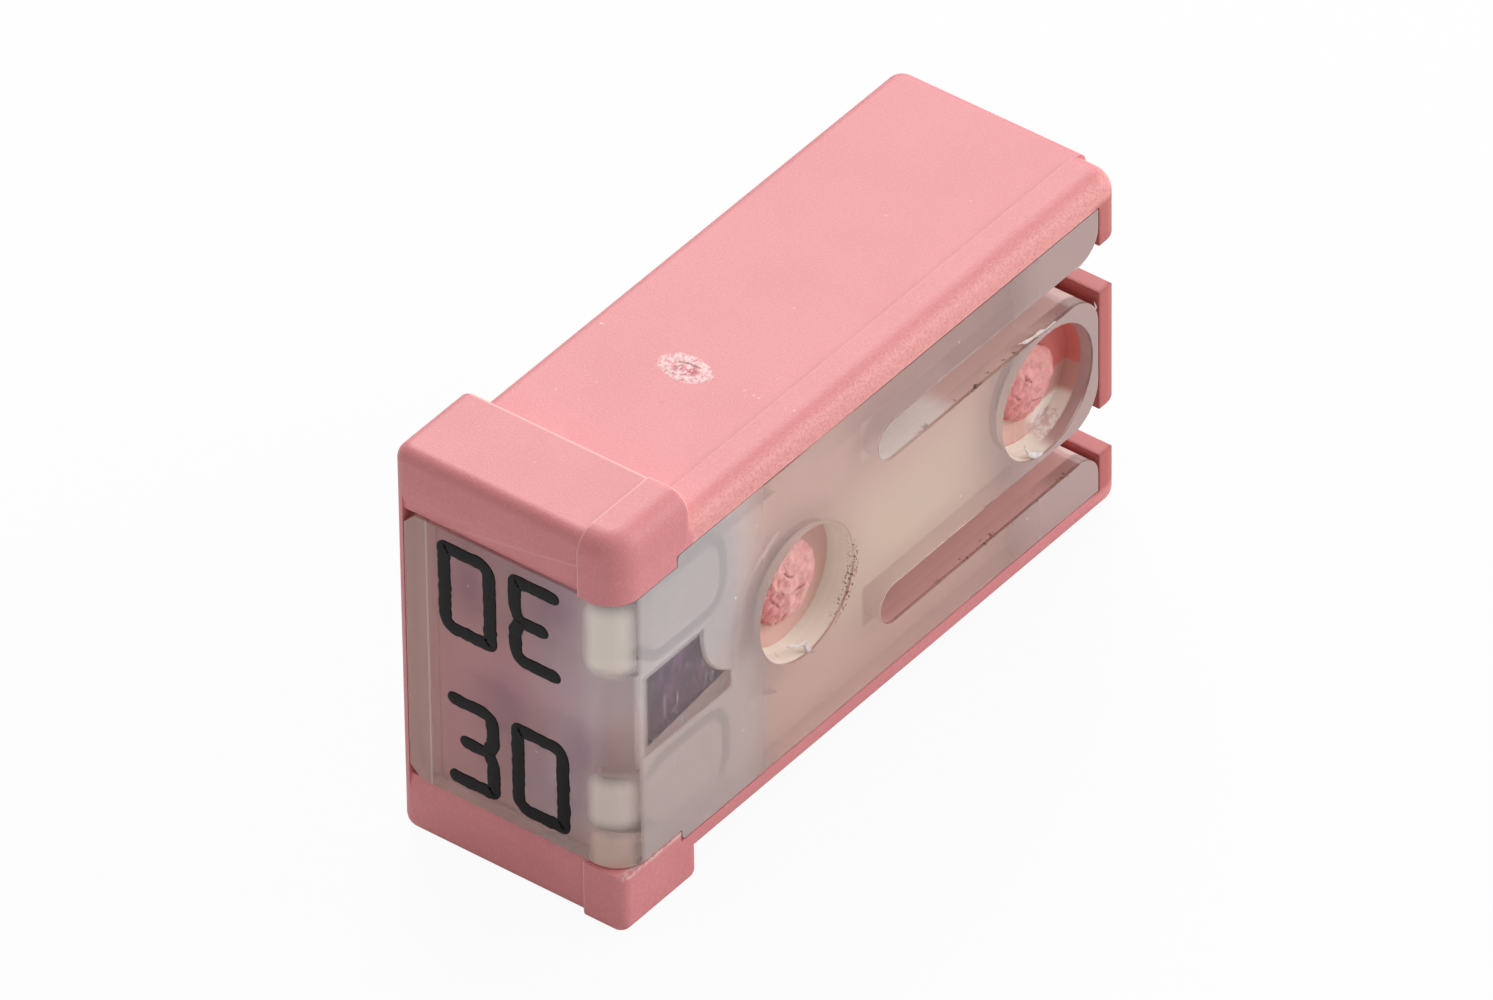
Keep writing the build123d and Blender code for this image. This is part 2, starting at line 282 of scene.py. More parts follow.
clear = Finish("milky_clear")
along = clear.axis(0)
across = clear.calc("SUBTRACT", clear.axis(2), middle_z)
depth = clear.calc("SUBTRACT", clear.axis(1), clear_y)
end_depth = clear.calc("SUBTRACT", along, print_x)
off_middle = clear.calc("ABSOLUTE", across)
reach_one, reach_two = clear.reach(post_one), clear.reach(post_two)
skin = clear.ramp(depth, 0.00006, 0.00002)
on_end = clear.ramp(end_depth, 0.00003, 0.00001)
haze = clear.noise(380.0, 4.0)
# Warm in the thick middle of the face, with painted pink light from the housing round it; cooler
# round the pockets, rosier along the top edge and in the shade between the upper pocket and the
# first countersink.
warm = clear.reach((0.0015, 0.0, middle_z - 0.0008), (1 / 0.0045, 0.0, 1 / 0.0026))
warm = clear.ramp(clear.calc("ADD", warm, haze), 1.8, 0.7)
clear.colour = clear.blend(warm, srgb(250, 222, 214), srgb(255, 238, 224))
cool = clear.both(clear.ramp(along, -0.0045, -0.0062), clear.ramp(across, -0.0012, 0.001))
clear.coat(clear.both(cool, 0.8), srgb(230, 226, 228))
dull = clear.both(clear.ramp(along, -0.0036, -0.0052), clear.ramp(across, 0.0006, -0.0006))
clear.coat(clear.both(dull, 0.75), srgb(226, 212, 210))
rosy = clear.both(clear.ramp(across, 0.0030, 0.0033), clear.ramp(along, -0.002, 0.0))
clear.coat(clear.both(rosy, 0.8), srgb(228, 196, 190))
shade = clear.both(
    clear.ramp(reach_one, 0.0034, 0.0026), clear.ramp(along, -0.0044, -0.0054),
    clear.ramp(across, -0.0008, 0.0002),
)
clear.coat(clear.both(shade, 0.8), srgb(206, 178, 178))
# The print end: mauve, with soft violet reflections of the strip behind it, and paler at its foot
# and at its rear.
mauve = clear.ramp(end_depth, end_wall + 0.00005, end_wall - 0.00005)
mauve = clear.both(mauve, clear.ramp(depth, 0.0009, 0.0014))
drift = clear.calc("ADD", depth, clear.both(haze, 0.003))
mauve_tint = clear.blend(clear.ramp(drift, 0.0058, 0.0030), srgb(236, 192, 194), srgb(232, 210, 216))
clear.coat(mauve, mauve_tint)
for blot_y, blot_z, size in (
    (0.0013, 0.0026, 0.0009),
    (0.0003, -0.0006, 0.0012),
    (-0.0022, -0.0011, 0.0010),
    (-0.0014, 0.0031, 0.0009),
):
    away = clear.reach((0.0, blot_y, middle_z + blot_z), (0.0, 1.0, 0.7))
    clear.coat(clear.both(mauve, clear.ramp(away, size, 0.0001, 0.0, 0.42)), srgb(190, 144, 174))
clear.coat(clear.both(mauve, clear.ramp(across, -0.0034, -0.0044)), srgb(240, 216, 204))
rear = clear.both(mauve, clear.ramp(depth, 0.0058, 0.0061))
clear.coat(rear, srgb(236, 200, 192))
# Towards the terminals the skin of the face is duller. The countersinks have a cream wall round a
# rosy floor.
clear.coat(clear.both(skin, clear.ramp(along, 0.0046, 0.0070), 0.85), srgb(208, 178, 174))
sink_reach = clear.calc("MINIMUM", reach_one, reach_two)
sink_wall = clear.both(
    clear.ramp(sink_reach, sink_radius, sink_radius - 0.00005), clear.ramp(depth, 0.00003, 0.00008),
    clear.ramp(depth, sink_depth + 0.00003, sink_depth),
)
sink_floor = clear.both(
    clear.ramp(sink_reach, sink_radius - 0.00017, sink_radius - 0.00021),
    clear.ramp(depth, sink_depth - 0.00002, sink_depth + 0.00001),
)
clear.coat(sink_wall, srgb(255, 248, 234))
clear.coat(sink_floor, srgb(230, 182, 170))
# The second countersink is seen through to the pink behind it, with a painted highlight across its
# lower wall, and paler where the punch crazed it.
sink_two = clear.both(
    clear.ramp(reach_two, sink_radius + 0.0001, sink_radius), clear.either(sink_wall, sink_floor),
    clear.ramp(along, 0.0070, 0.0076),
)
sink_tint = clear.blend(clear.ramp(across, -0.00033, -0.00041), srgb(226, 122, 114), srgb(214, 158, 148))
# A pale band across the lower wall: painted highlight.
sink_tint = clear.blend(clear.ramp(across, -0.0010, -0.0012), sink_tint, srgb(255, 240, 230))
crazed = clear.ramp(clear.noise(5200.0, 3.0, 0.6), 0.4, 0.6)
crazed = clear.blend(crazed, srgb(230, 200, 194), srgb(255, 244, 238))
sink_tint = clear.blend(clear.ramp(across, -0.0014, -0.0015), sink_tint, crazed)
sink_tint = clear.blend(clear.ramp(depth, 0.00038, 0.00032), sink_tint, srgb(196, 158, 156))
clear.coat(sink_two, sink_tint)
# The slots have pale walls at their closed ends, rosier towards the terminals and in the lower slot.
slot_off = clear.off(off_middle, slot_middle)
slot_wall = clear.both(
    clear.ramp(slot_off, slot_half + 0.00004, slot_half + 0.00001), clear.ramp(along, 0.0, 0.00006),
    clear.ramp(depth, 0.00003, 0.00008), clear.ramp(along, 0.0094, 0.0092),
)
slot_tint = clear.blend(clear.ramp(along, 0.0028, 0.0036), srgb(255, 244, 238), srgb(238, 204, 198))
slot_tint = clear.blend(clear.ramp(across, 0.001, -0.001), slot_tint, srgb(232, 184, 178))
clear.coat(slot_wall, slot_tint)
# Milkiness grows with depth, and is less in both ends. The wall that touches the shield is clear:
# a patch with a slanted lower edge, and the shield's punched arc out of its corner.
side_wall = clear.ramp(depth, 0.00003, 0.00012)
side_wall = clear.both(side_wall, clear.ramp(end_depth, 0.0030, 0.0034), 0.8)
cloudy = clear.both(
    clear.either(clear.ramp(depth, 0.0003, 0.0009), side_wall),
    clear.outside(clear.ramp(end_depth, end_wall + 0.00005, end_wall - 0.00005, 0.0, 0.72)),
    clear.outside(clear.ramp(along, 0.0066, 0.0080, 0.0, 0.4)),
)
bite = clear.reach((-0.005002, 0.0, middle_z + 0.00109))
slanted = clear.calc("SUBTRACT", across, clear.both(along, 0.12))
wetted = clear.both(
    clear.ramp(along, shield_from - 0.0003, shield_from),
    clear.ramp(along, shield_to + 0.0001, shield_to),
    clear.ramp(across, 0.00125, 0.00115), clear.ramp(depth, 0.0008, 0.0007),
    clear.ramp(bite, 0.00186, 0.00192), clear.ramp(slanted, 0.00006, 0.00016),
)
window_back = clear.both(clear.ramp(depth, 0.0003, 0.0005), clear.ramp(end_depth, 0.0006, 0.0009))
cloudy = clear.both(clear.either(cloudy, window_back), clear.outside(wetted))
# The skin is a little milky too, except over the shield.
bite_above = clear.reach((-0.0052, 0.0, middle_z + 0.0013))
over_shield = clear.both(
    clear.ramp(along, -0.0096, -0.0093), clear.ramp(along, -0.0059, -0.0061),
    clear.ramp(across, -0.0010, -0.0008), clear.ramp(across, 0.0017, 0.0015),
    clear.ramp(bite_above, 0.00180, 0.00192),
)
milky_print_side = clear.ramp(along, -0.0042, -0.0056, 0.34, 0.52)
milky_far_side = clear.ramp(along, 0.0050, 0.0072, 0.0, 0.3)
skin_milk = clear.both(
    skin, clear.outside(over_shield), clear.ramp(end_depth, 0.0004, 0.0009),
    clear.calc("ADD", milky_print_side, milky_far_side),
)
sink_milk = clear.both(clear.either(sink_wall, sink_two), 0.85)
cloudy = clear.either(cloudy, skin_milk, sink_milk, clear.both(rear, 0.4))
# Fine rub marks in the clear patch over the shield.
marks = clear.noise(3800.0, 4.0, 0.7, clear.moved((0.0, 0.0, 0.0), (1.0, 1.0, 0.3)))
marks = clear.both(skin, over_shield, clear.ramp(marks, 0.5, 0.68), 0.34)
clear.coat(clear.both(marks, 2.0), srgb(226, 222, 238))
# Milky flow lines curl round the first countersink, on the side of the pockets.
curl = clear.node("ShaderNodeCombineXYZ")
clear.wire(clear.calc("MULTIPLY_ADD", haze, 0.0016, reach_one), curl.inputs[0])
swirl = clear.both(
    clear.ramp(clear.noise(2300.0, 2.0, 0.5, curl.outputs[0]), 0.5, 0.62), skin,
    clear.ramp(reach_one, 0.0022, 0.0026), clear.ramp(reach_one, 0.0040, 0.0034),
    clear.ramp(along, -0.0030, -0.0044), 0.22, clear.ramp(across, -0.0016, -0.0004),
)
clear.coat(swirl, srgb(255, 236, 232))
cloudy = clear.either(cloudy, marks, clear.both(swirl, 2.2))
# The solid pillars in both front corners carry light to the surface and look white, and the foot
# below them is rosy. A pale line down the upright edge is a painted highlight.
corner = clear.both(clear.ramp(depth, 0.0015, 0.0008), clear.ramp(end_depth, 0.0010, 0.0002))
foot = clear.both(corner, clear.ramp(across, -0.0026, -0.0034))
clear.coat(foot, srgb(250, 220, 204))
upper_pillar = clear.ramp(across, 0.0016, 0.0023)
lower_pillar = clear.ramp(across, -0.0008, -0.0018, 0.0, 0.85)
pillar = clear.both(
    corner, clear.calc("ADD", upper_pillar, lower_pillar),
    clear.ramp(across, 0.0047, 0.0036), clear.ramp(across, -0.0034, -0.0026),
)
clear.coat(pillar, srgb(255, 240, 228))
# Painted highlight down the upright edge.
edge = clear.both(clear.ramp(depth, 0.00024, 0.00006), clear.ramp(end_depth, 0.00024, 0.00006))
clear.coat(clear.both(edge, 0.8), srgb(244, 230, 224))
cloudy = clear.either(cloudy, clear.both(foot, 0.6), clear.both(pillar, 0.9), clear.both(edge, 0.75))
# Grime: olive specks round one side of the first countersink and along the lips of the slots.
ring = clear.both(
    clear.ramp(clear.off(reach_one, sink_radius), 0.00015, 0.00006),
    clear.ramp(along, -0.0020, -0.0014), clear.ramp(across, 0.0009, -0.0002),
)
lips = clear.both(
    clear.ramp(clear.off(slot_off, slot_half), 0.00006, 0.00002), clear.ramp(along, 0.0012, 0.003),
    clear.ramp(clear.noise(2600.0, 1.0), 0.57, 0.61), clear.ramp(across, 0.0032, 0.0031),
)
grime = clear.both(
    clear.either(ring, lips), clear.ramp(clear.noise(11000.0, 2.0, 0.6), 0.53, 0.60),
    clear.ramp(depth, 0.0003, 0.0001),
)
clear.coat(grime, srgb(104, 88, 50))
# A pale ridge runs down the rear of the print end, and white dust lies on both outer faces.
ridge = clear.both(on_end, clear.ramp(clear.off(depth, ridge_depth), 0.00005, 0.00001), 0.5)
dust, lots = clear.specks(1100.0, 0.06, 0.03)
dust = clear.both(dust, clear.ramp(lots[0], 0.6, 0.65), 0.7, clear.either(skin, on_end))
pale = clear.either(ridge, dust)
clear.coat(pale, srgb(255, 250, 246))
cloudy = clear.either(cloudy, grime, pale)
clear.set(
    Roughness=clear.ramp(along, 0.0060, 0.0072, 0.16, 0.34),
    Normal=clear.bump(clear.noise(6000.0, 3.0, 0.6), 0.000008, 0.5),
    IOR=1.5,
    Transmission_Weight=clear.ramp(cloudy, 0.0, 1.0, 0.98, 0.06),
)
dress("cover", clear)

# ---------------------------------------------------------------------------------------------
# FUSE ELEMENT. One strip of copper alloy, stamped and folded into link, legs and receptacles. The
# print half is tarnished to a rubbed violet, and the terminal half is tinned.

violet = Finish("tarnished_strip")
rub = violet.noise(2600.0, 5.0, 0.7, violet.moved((0.0, 0.0, 0.0), (1.0, 1.0, 0.45)))
dots, lots = violet.specks(2200.0, 0.2, 0.08)
dots = violet.both(dots, violet.ramp(lots[0], 0.7, 0.75, 0.0, 0.7))
violet.colour = violet.blend(violet.ramp(rub, 0.42, 0.66), srgb(84, 22, 90), srgb(144, 88, 144))
violet.coat(dots, srgb(190, 170, 190))
violet.coat(violet.ramp(violet.axis(0), -0.0045, -0.0025), srgb(236, 222, 216))
violet.set(Metallic=0.1, Roughness=0.6, Normal=violet.bump(rub, 0.00001, 0.5))
dress("fuse_element", violet)

# ---------------------------------------------------------------------------------------------
# TIN DROP. A dull grey deposit melted on to the link. It lets the fuse ride out short surges: only
# when the link stays hot does the tin run into the copper and lower the heat at which it parts.

tin = Finish("dull_tin")
frost = tin.noise(7000.0, 3.0)
tin.colour = tin.blend(tin.ramp(frost, 0.35, 0.7), srgb(168, 168, 172), srgb(198, 198, 202))
tin.set(Metallic=0.9, Roughness=0.4, Normal=tin.bump(frost, 0.00001, 0.5))
dress("tin_drop", tin)

# ---------------------------------------------------------------------------------------------
# RATING. The plain number is pad-printed twice on the print end in near-black ink, one row the
# other way up, so that it reads in either position of the fuse.

ink_width = 0.00040
ink_height = 0.000018
digit_tall = 0.0029
digit_wide = 0.00181
outer_round, inner_round, tight = 0.00034, 0.0003, 0.00008    # bends of the centre lines
waist_half = 0.00035        # half the height of the three's waist
waist_deep = 0.00016        # and how far the waist is drawn in
bar_start = 0.00036         # left end of the three's bar
path_step = 0.00003
ink_wander = 0.000009
ink_root = 0.00001          # how far the ink goes into the face, so that no gap shows
row_low, row_high = -0.00376, 0.00101    # lower edges of the rows, from the middle plane


def rounded_run(points, radii, steps=9):
    """Path of straight runs whose corners are arcs: each is swept between its two tangent points."""
    points = [np.array(p, float) for p in points]
    path = [points[0][None]]
    for before, here, after, radius in zip(points, points[1:], points[2:], radii):
        back = (before - here) / np.linalg.norm(before - here)
        on = (after - here) / np.linalg.norm(after - here)
        half = math.acos(np.clip(back @ on, -1, 1)) / 2
        reach = radius / math.tan(half)
        middle = here + (back + on) / np.linalg.norm(back + on) * radius / math.sin(half)
        start, stop = here + back * reach - middle, here + on * reach - middle
        turn = np.linspace(0, 1, steps)[:, None]
        swing = math.acos(np.clip(start @ stop / radius**2, -1, 1))
        arc = (np.sin((1 - turn) * swing) * start + np.sin(turn * swing) * stop) / math.sin(swing)
        path.append(middle + arc)
    path.append(points[-1][None])
    return np.concatenate(path)


def evened(path, spacing):
    """The same path with points at even spacing along its length."""
    steps = np.linalg.norm(np.diff(path, axis=0), axis=1)
    along = np.concatenate([[0], np.cumsum(steps)])
    wanted = np.linspace(0, along[-1], max(3, int(along[-1] / spacing)))
    return np.stack([np.interp(wanted, along, path[:, k]) for k in range(path.shape[1])], 1)


def wavy(count, reach, seed):
    """Smooth random wander: random numbers averaged over a window as wide as reach."""
    rough = np.random.default_rng(seed).normal(size=count + 2 * reach)
    window = np.hanning(reach * 2 + 1)
    smooth = np.convolve(rough, window / np.linalg.norm(window), mode="same")
    return smooth[reach:reach + count]


def path_normals(path, closed=False):
    """Unit normals of a flat path: its slope at each point, turned a quarter."""
    slope = np.gradient(path, axis=0)
    if closed:
        slope[0] = slope[-1] = path[1] - path[-2]
    slope /= np.linalg.norm(slope, axis=1)[:, None]
    return np.stack([-slope[:, 1], slope[:, 0]], 1)


def hoop_faces(index):
    """Four-cornered faces between rows of points that follow each other, each row closed to a hoop."""
    ahead = np.roll(index, -1, axis=1)
    return np.stack([index[:-1], ahead[:-1], ahead[1:], index[1:]], -1).reshape(-1, 4).tolist()


def stroke(path, closed, seed):
    """Outline of a printed stroke: the path pushed out by half the ink width along its normals, with
    a slight wander, and with half-round ends unless it closes on itself."""
    path = evened(path, path_step)
    half = ink_width / 2
    left = half + ink_wander * wavy(len(path), 4, seed)
    right = half + ink_wander * wavy(len(path), 4, seed + 1)
    if closed:
        left[-1], right[-1] = left[0], right[0]
    else:
        steps = np.arange(len(path))
        to_end = np.minimum(steps, steps[::-1]) * path_step
        rounding = np.maximum(np.sqrt(1 - (1 - np.clip(to_end / half, 0, 1)) ** 2), 0.02)
        left, right = left * rounding, right * rounding
    normal = path_normals(path, closed)
    return path + normal * left[:, None], path - normal * right[:, None]


def digit_strokes(kind):
    """Centre lines of one digit in its own box, origin at its lower left, upright."""
    inset = ink_width / 2
    x0, x1, y0, y1 = inset, digit_wide - inset, inset, digit_tall - inset
    mid = digit_tall / 2
    if kind == "0":
        loop = [((x0 + x1) / 2, y0), (x1, y0), (x1, y1), (x0, y1), (x0, y0), ((x0 + x1) / 2, y0)]
        return [(rounded_run(loop, (tight, outer_round, tight, outer_round)), True)]
    waist = x1 - waist_deep
    over, under = mid + waist_half, mid - waist_half
    spine = [(x0, y1), (x1, y1), (x1, over), (waist, mid), (x1, under), (x1, y0), (x0, y0)]
    spine = rounded_run(spine, (outer_round, inner_round, tight, inner_round, tight))
    bar = np.array([(x0 + bar_start, mid), (waist, mid)])
    return [(spine, False), (bar, False)]


def print_digit(kind, left_y, low_z, turned, seed):
    """Lays one digit on the print end. Its box runs from left_y towards the clear face, and up from
    low_z. Across a stroke the ink is a hoop of six points: base, shoulder and crown on one side, then
    on the other. A digit's second stroke is a little lower, so that it never coincides with the first."""
    corners, faces = [], []
    for order, (path, closed) in enumerate(digit_strokes(kind)):
        crown = ink_height * (1 - 0.15 * order)
        flat = np.stack(stroke(path, closed, seed), 1)
        if turned:
            flat = np.array((digit_wide, digit_tall)) - flat
        centre = flat.mean(1, keepdims=True)
        levels = []
        for lift, squeeze in ((-ink_root, 1.0), (crown * 0.7, 1.0), (crown, 0.82)):
            ring = centre + (flat - centre) * squeeze
            x = np.full(ring.shape[:2], print_x - lift)
            levels.append(np.stack([x, left_y - ring[..., 0], low_z + ring[..., 1]], -1))
        one_side = [level[:, 0] for level in levels]
        other_side = [level[:, 1] for level in levels[::-1]]
        index = np.arange(len(flat) * 6).reshape(-1, 6) + sum(len(c) for c in corners)
        corners.append(np.stack(one_side + other_side, 1).reshape(-1, 3))
        faces += hoop_faces(index)
        if not closed:
            faces += [index[0][::-1].tolist(), index[-1].tolist()]
    return np.concatenate(corners), faces


def new_piece(name, points, faces, finish):
    """Smooth mesh object at the origin, with its doubles merged and its faces turned outwards."""
    mesh = bpy.data.meshes.new(name)
    mesh.from_pydata([tuple(p) for p in points], [], faces)
    mesh.validate()
    work = bmesh.new()
    work.from_mesh(mesh)
    bmesh.ops.remove_doubles(work, verts=work.verts, dist=1e-7)
    bmesh.ops.recalc_face_normals(work, faces=work.faces)
    work.to_mesh(mesh)
    work.free()
    piece = bpy.data.objects.new(name, mesh)
    bpy.context.scene.collection.objects.link(piece)
    mesh.materials.append(finish.material)
    mesh.shade_smooth()
    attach(piece, "root")
    return piece


ink = Finish("black_ink")
wear = ink.noise(5200.0, 4.0, 0.65)
ink.colour = ink.blend(ink.ramp(wear, 0.66, 0.76), srgb(20, 17, 18), srgb(64, 58, 58))
ink.set(Roughness=0.45, Specular_IOR_Level=0.2, Normal=ink.bump(wear, 0.000012, 0.6))
for name, kind, behind_face, row, turned, seed in (
    ("rating_lower_three", "3", 0.00571, row_low, False, 11),
    ("rating_lower_zero", "0", 0.00351, row_low, False, 21),
    ("rating_upper_zero", "0", 0.00572, row_high, True, 31),
    ("rating_upper_three", "3", 0.00351, row_high, True, 41),
):
    points, faces = print_digit(kind, clear_y + behind_face, middle_z + row, turned, seed)
    new_piece(name, points, faces, ink)

# ---------------------------------------------------------------------------------------------
# STAKE HEADS. The ends of the two posts, crushed flat by the staking punch in their countersinks:
# pink crumbs, creases and dark grains pressed into a low dome.

head_face = clear_y + 0.00066
head_height = 0.00019
head_skirt = 0.0001
full_height = 0.00015       # a patch lower than this has shallower lumps too
rim_steps, crown_steps = 200, 54
crease_deep, crease_wide = 0.00006, 0.00004


def waves(x, z, reach, seed, count=26):
    """Smooth random relief of about one unit: a sum of plane waves with random directions, phases and
    lengths up to reach, each as high as it is long."""
    rng = np.random.default_rng(seed)
    turn, phase = rng.uniform(0, 2 * np.pi, (2, count))
    length = reach * rng.uniform(0.3, 1.0, count)
    way = 2 * np.pi * (x[..., None] * np.cos(turn) + z[..., None] * np.sin(turn)) / length + phase
    return (np.sin(way) * length).sum(-1) / np.sqrt((length**2).sum())


def off_lines(x, z, lines):
    """Distance from each point to the nearest run of the given broken lines."""
    nearest = np.full(x.shape, 1.0)
    for line in lines:
        for (ax, az), (bx, bz) in zip(line, line[1:]):
            run = np.array((bx - ax, bz - az))
            share = np.clip(((x - ax) * run[0] + (z - az) * run[1]) / (run @ run), 0, 1)
            nearest = np.minimum(nearest, np.hypot(x - ax - share * run[0], z - az - share * run[1]))
    return nearest


def crushed_patch(name, lay, radii, height, skirt, creases, finish, seed):
    """Low dome on a polar grid: it falls from its crown as the root of one less the share of the
    radius squared, with random lumps and narrow creases, to a ragged rim and a short skirt. The
    function lay puts its two flat measures and its height in place. Three attributes follow: how near
    a crease is, how much painted shade one side gets, and the distance from the centre as a share of the
    radius."""
    share = np.append(np.linspace(0, 1, crown_steps) ** 0.8, 1.0)[:, None]
    turn = np.linspace(0, 2 * np.pi, rim_steps, endpoint=False)[None]
    cos, sin = np.cos(turn), np.sin(turn)
    rim = 1 + 0.028 * waves(cos, sin, 1.3, seed) + 0.012 * waves(cos, sin, 0.3, seed)
    u, v = share * rim * radii[0] * cos, share * rim * radii[1] * sin
    dome = height * np.sqrt(np.clip(1 - share**2, 0, 1)) * np.ones_like(turn)
    lumps = 0.000036 * waves(u, v, 0.0008, seed + 1) + 0.000006 * waves(u, v, 0.0002, seed + 2, 40)
    cut = crease_deep * np.exp(-((off_lines(u, v, creases) / crease_wide) ** 2))
    rise = dome + (lumps - cut) * (1 - share**8) * min(1.0, height / full_height)
    rise[-1] = -skirt
    points = np.stack(lay(u, v, rise), -1).reshape(-1, 3)
    index = np.arange(share.size * turn.size).reshape(share.size, turn.size)
    faces = hoop_faces(index) + [index[-1].tolist()]
    piece = new_piece(name, points, faces, finish)
    places = np.empty(len(piece.data.vertices) * 3, np.float32)
    piece.data.vertices.foreach_get("co", places)
    origin = np.array(lay(0.0, 0.0, 0.0))
    spots = places.reshape(-1, 3) - origin
    u, v = (spots @ (np.array(lay(*step)) - origin) for step in ((1.0, 0.0, 0.0), (0.0, 1.0, 0.0)))
    near_crease = np.exp(-((off_lines(u, v, creases) / (0.75 * crease_wide)) ** 2))
    # Painted shade: the share rises towards the side of the head that faces away from the light.
    shaded_side = -(u + 0.35 * v) / radii[0] - 0.15 + 0.25 * waves(u, v, 0.0004, seed + 3)
    for label, values in (
        ("crease", near_crease),
        ("shaded_side", np.clip(shaded_side, 0, 1)),
        ("centre", np.hypot(u / radii[0], v / radii[1])),
    ):
        layer = piece.data.attributes.new(label, "FLOAT", "POINT")
        layer.data.foreach_set("value", values.astype(np.float32))


crushed = Finish("crushed_pink")
crumbs = crushed.noise(5200.0, 4.0, 0.6)
grit = crushed.noise(13000.0, 2.0, 0.6)
side_shade, creased = crushed.attribute("shaded_side"), crushed.attribute("crease")
crushed.colour = crushed.blend(crushed.ramp(crumbs, 0.38, 0.62), srgb(236, 162, 158), srgb(246, 188, 182))
# Painted shade on the side that faces away from the light.
crushed.coat(crushed.both(side_shade, 0.75), srgb(196, 78, 80))
grains = crushed.both(crushed.ramp(grit, 0.6, 0.68), crushed.ramp(side_shade, 0.05, 0.4))
crushed.coat(crushed.both(grains, 0.85), srgb(96, 44, 40))
# Painted shade in the creases.
crushed.coat(crushed.both(creased, crushed.ramp(grit, 0.4, 0.6, 0.0, 0.8)), srgb(120, 54, 58))
# The head on the terminal side lies in deeper shade.
crushed.coat(crushed.ramp(crushed.axis(0), 0.0, 0.004, 0.0, 0.35), srgb(206, 116, 112))
crushed.set(Roughness=0.5, Normal=crushed.bump(crumbs, 0.000014, 0.8))


def on_post(post):
    """Lays a patch on the end of a post, facing out of the clear face."""
    return lambda u, v, rise: (post[0] + u, head_face - rise, post[2] + v)


for name, post, radius, seed, creases in (
    ("stake_head_print", post_one, 0.00114, 3, (
        ((-0.00025, 0.00052), (-0.00012, 0.00034), (0.00005, 0.00022)),
        ((-0.00010, -0.00033), (0.00012, -0.00036), (0.00030, -0.00031), (0.00065, -0.00026)),
        ((-0.00080, -0.00003), (-0.00062, -0.00022), (-0.00050, -0.00040)),
    )),
    ("stake_head_terminal", post_two, 0.00106, 7, (
        ((-0.00080, 0.00014), (-0.00064, -0.00002), (-0.00050, -0.00018)),
        ((0.00000, -0.00050), (0.00014, -0.00062), (0.00030, -0.00064)),
        ((-0.00030, 0.00047), (-0.00022, 0.00026), (-0.00010, 0.00017)),
    )),
):
    radii = (radius, radius)
    crushed_patch(name, on_post(post), radii, head_height, head_skirt, creases, crushed, seed)

# ---------------------------------------------------------------------------------------------
# GATE SCAR. Where the sprue was torn off the narrow side: a whitened oval of crumbled plastic in its
# shallow pool, with dark pits and a redder middle.

gate_x, gate_y = -0.00265, 0.00034
gate_radii = (0.00056, 0.00084)
scar_height, scar_skirt = 0.00003, 0.00005
pool_z = body_top_z - 0.00001

scar = Finish("gate_scar")
fibre = scar.noise(8000.0, 5.0, 0.75)
streak = scar.noise(5200.0, 3.0, 0.6, scar.moved((0.0, 0.0, 0.0), (0.5, 1.0, 1.0)))
pit = scar.noise(12000.0, 3.0, 0.6)
out = scar.attribute("centre")
ragged_out = scar.calc("ADD", out, scar.both(streak, 0.8))
crumbled = scar.both(scar.ramp(fibre, 0.40, 0.56), scar.ramp(ragged_out, 1.42, 1.20))
scar.colour = scar.blend(scar.both(crumbled, 0.92), srgb(234, 150, 152), srgb(255, 226, 224))
core = scar.both(scar.ramp(out, 0.62, 0.35), scar.ramp(streak, 0.44, 0.54))
scar.coat(scar.both(core, 0.85), srgb(200, 94, 106))
pits = scar.both(scar.ramp(pit, 0.60, 0.66), scar.ramp(ragged_out, 1.35, 1.1))
scar.coat(scar.both(pits, 0.6), srgb(150, 92, 92))
# Painted shade along the tears.
tear_shade = scar.both(scar.attribute("crease"), scar.ramp(fibre, 0.4, 0.55, 0.0, 0.9))
scar.coat(tear_shade, srgb(150, 62, 66))
scar.set(Roughness=0.55, Normal=scar.bump(fibre, 0.00003, 0.8))


def on_side(u, v, rise):
    """Lays a patch in the pool on the narrow side, facing up."""
    return gate_x + u, gate_y + v, pool_z + rise


scar_tears = (
    ((0.00022, -0.00030), (0.00020, 0.00002), (0.00012, 0.00026)),
    ((0.00008, 0.00012), (-0.00010, 0.00020)),
)
crushed_patch("gate_scar", on_side, gate_radii, scar_height, scar_skirt, scar_tears, scar, 19)

# ---------------------------------------------------------------------------------------------
# SHAVINGS. Curls and flakes of clear plastic that the trimming left round the countersinks and
# along the open slot, pressed into the face.

shaving_depth = 0.000045    # middle of a shaving, under the skin of the clear face
shaving_half_thick = 0.00003
shaving_taper = 0.00025

shaved = Finish("shaved_plastic")
ragged = shaved.noise(5200.0, 3.0)
shaved.colour = shaved.blend(shaved.ramp(ragged, 0.35, 0.65), srgb(236, 216, 210), srgb(255, 246, 242))
shaved.set(Roughness=0.35, Transmission_Weight=0.2, Normal=shaved.bump(ragged, 0.00002, 0.8))


